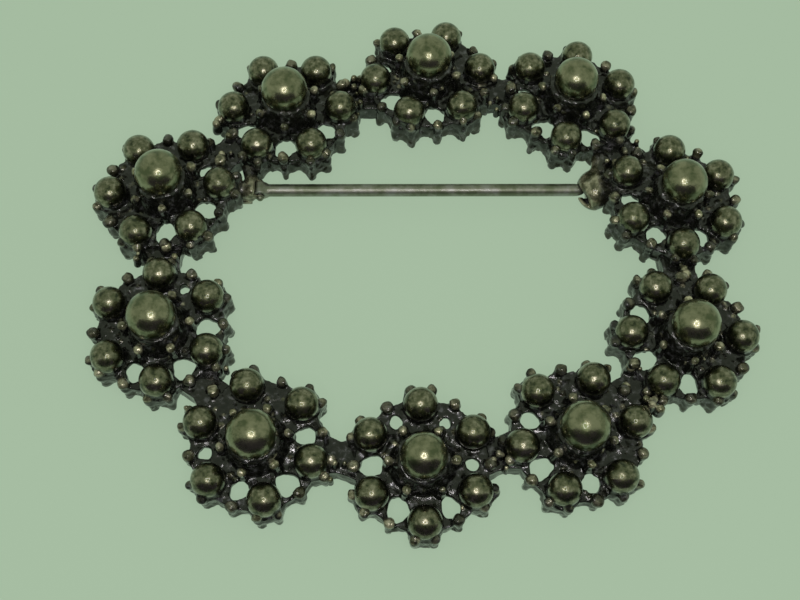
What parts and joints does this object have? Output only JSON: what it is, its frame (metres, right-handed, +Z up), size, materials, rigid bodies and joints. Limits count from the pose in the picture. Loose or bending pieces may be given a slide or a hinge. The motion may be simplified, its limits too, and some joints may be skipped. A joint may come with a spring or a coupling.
{
  "type": "flower brooch",
  "caption": "Oval wreath brooch of ball-petalled cast metal flowers with a hinged straight pin and a plain catch at the back.",
  "frame": {"origin": "middle of the base that the brooch rests on, lying on its back", "axes": "+X along the oval, from the pin's hinge to the catch, +Y across it towards the side that the pin is nearer to, +Z up out of the flowers' faces"},
  "size_m": [0.0512, 0.0448, 0.0073],
  "materials": {
    "oxidised_silver": "cast, blackened in the recesses and polished on the balls",
    "pin_wire": "drawn wire with a satin surface"
  },
  "bodies": {
    "wreath": {"flower_01": "oxidised_silver", "flower_02": "oxidised_silver", "flower_03": "oxidised_silver", "flower_04": "oxidised_silver", "flower_05": "oxidised_silver", "flower_06": "oxidised_silver", "flower_07": "oxidised_silver", "flower_08": "oxidised_silver", "flower_09": "oxidised_silver", "flower_10": "oxidised_silver", "joint_housing": "oxidised_silver", "joint_rivet": "oxidised_silver", "catch": "oxidised_silver"},
    "pin": {"pin_stem": "pin_wire"}
  },
  "joints": [
    {"name": "pin_swing", "type": "hinge", "parent": "wreath", "child": "pin", "pos_m": [-0.0124, 0.00683, 0.00157], "axis": [0, 1, 0], "range_deg": [0, 95]}
  ]
}
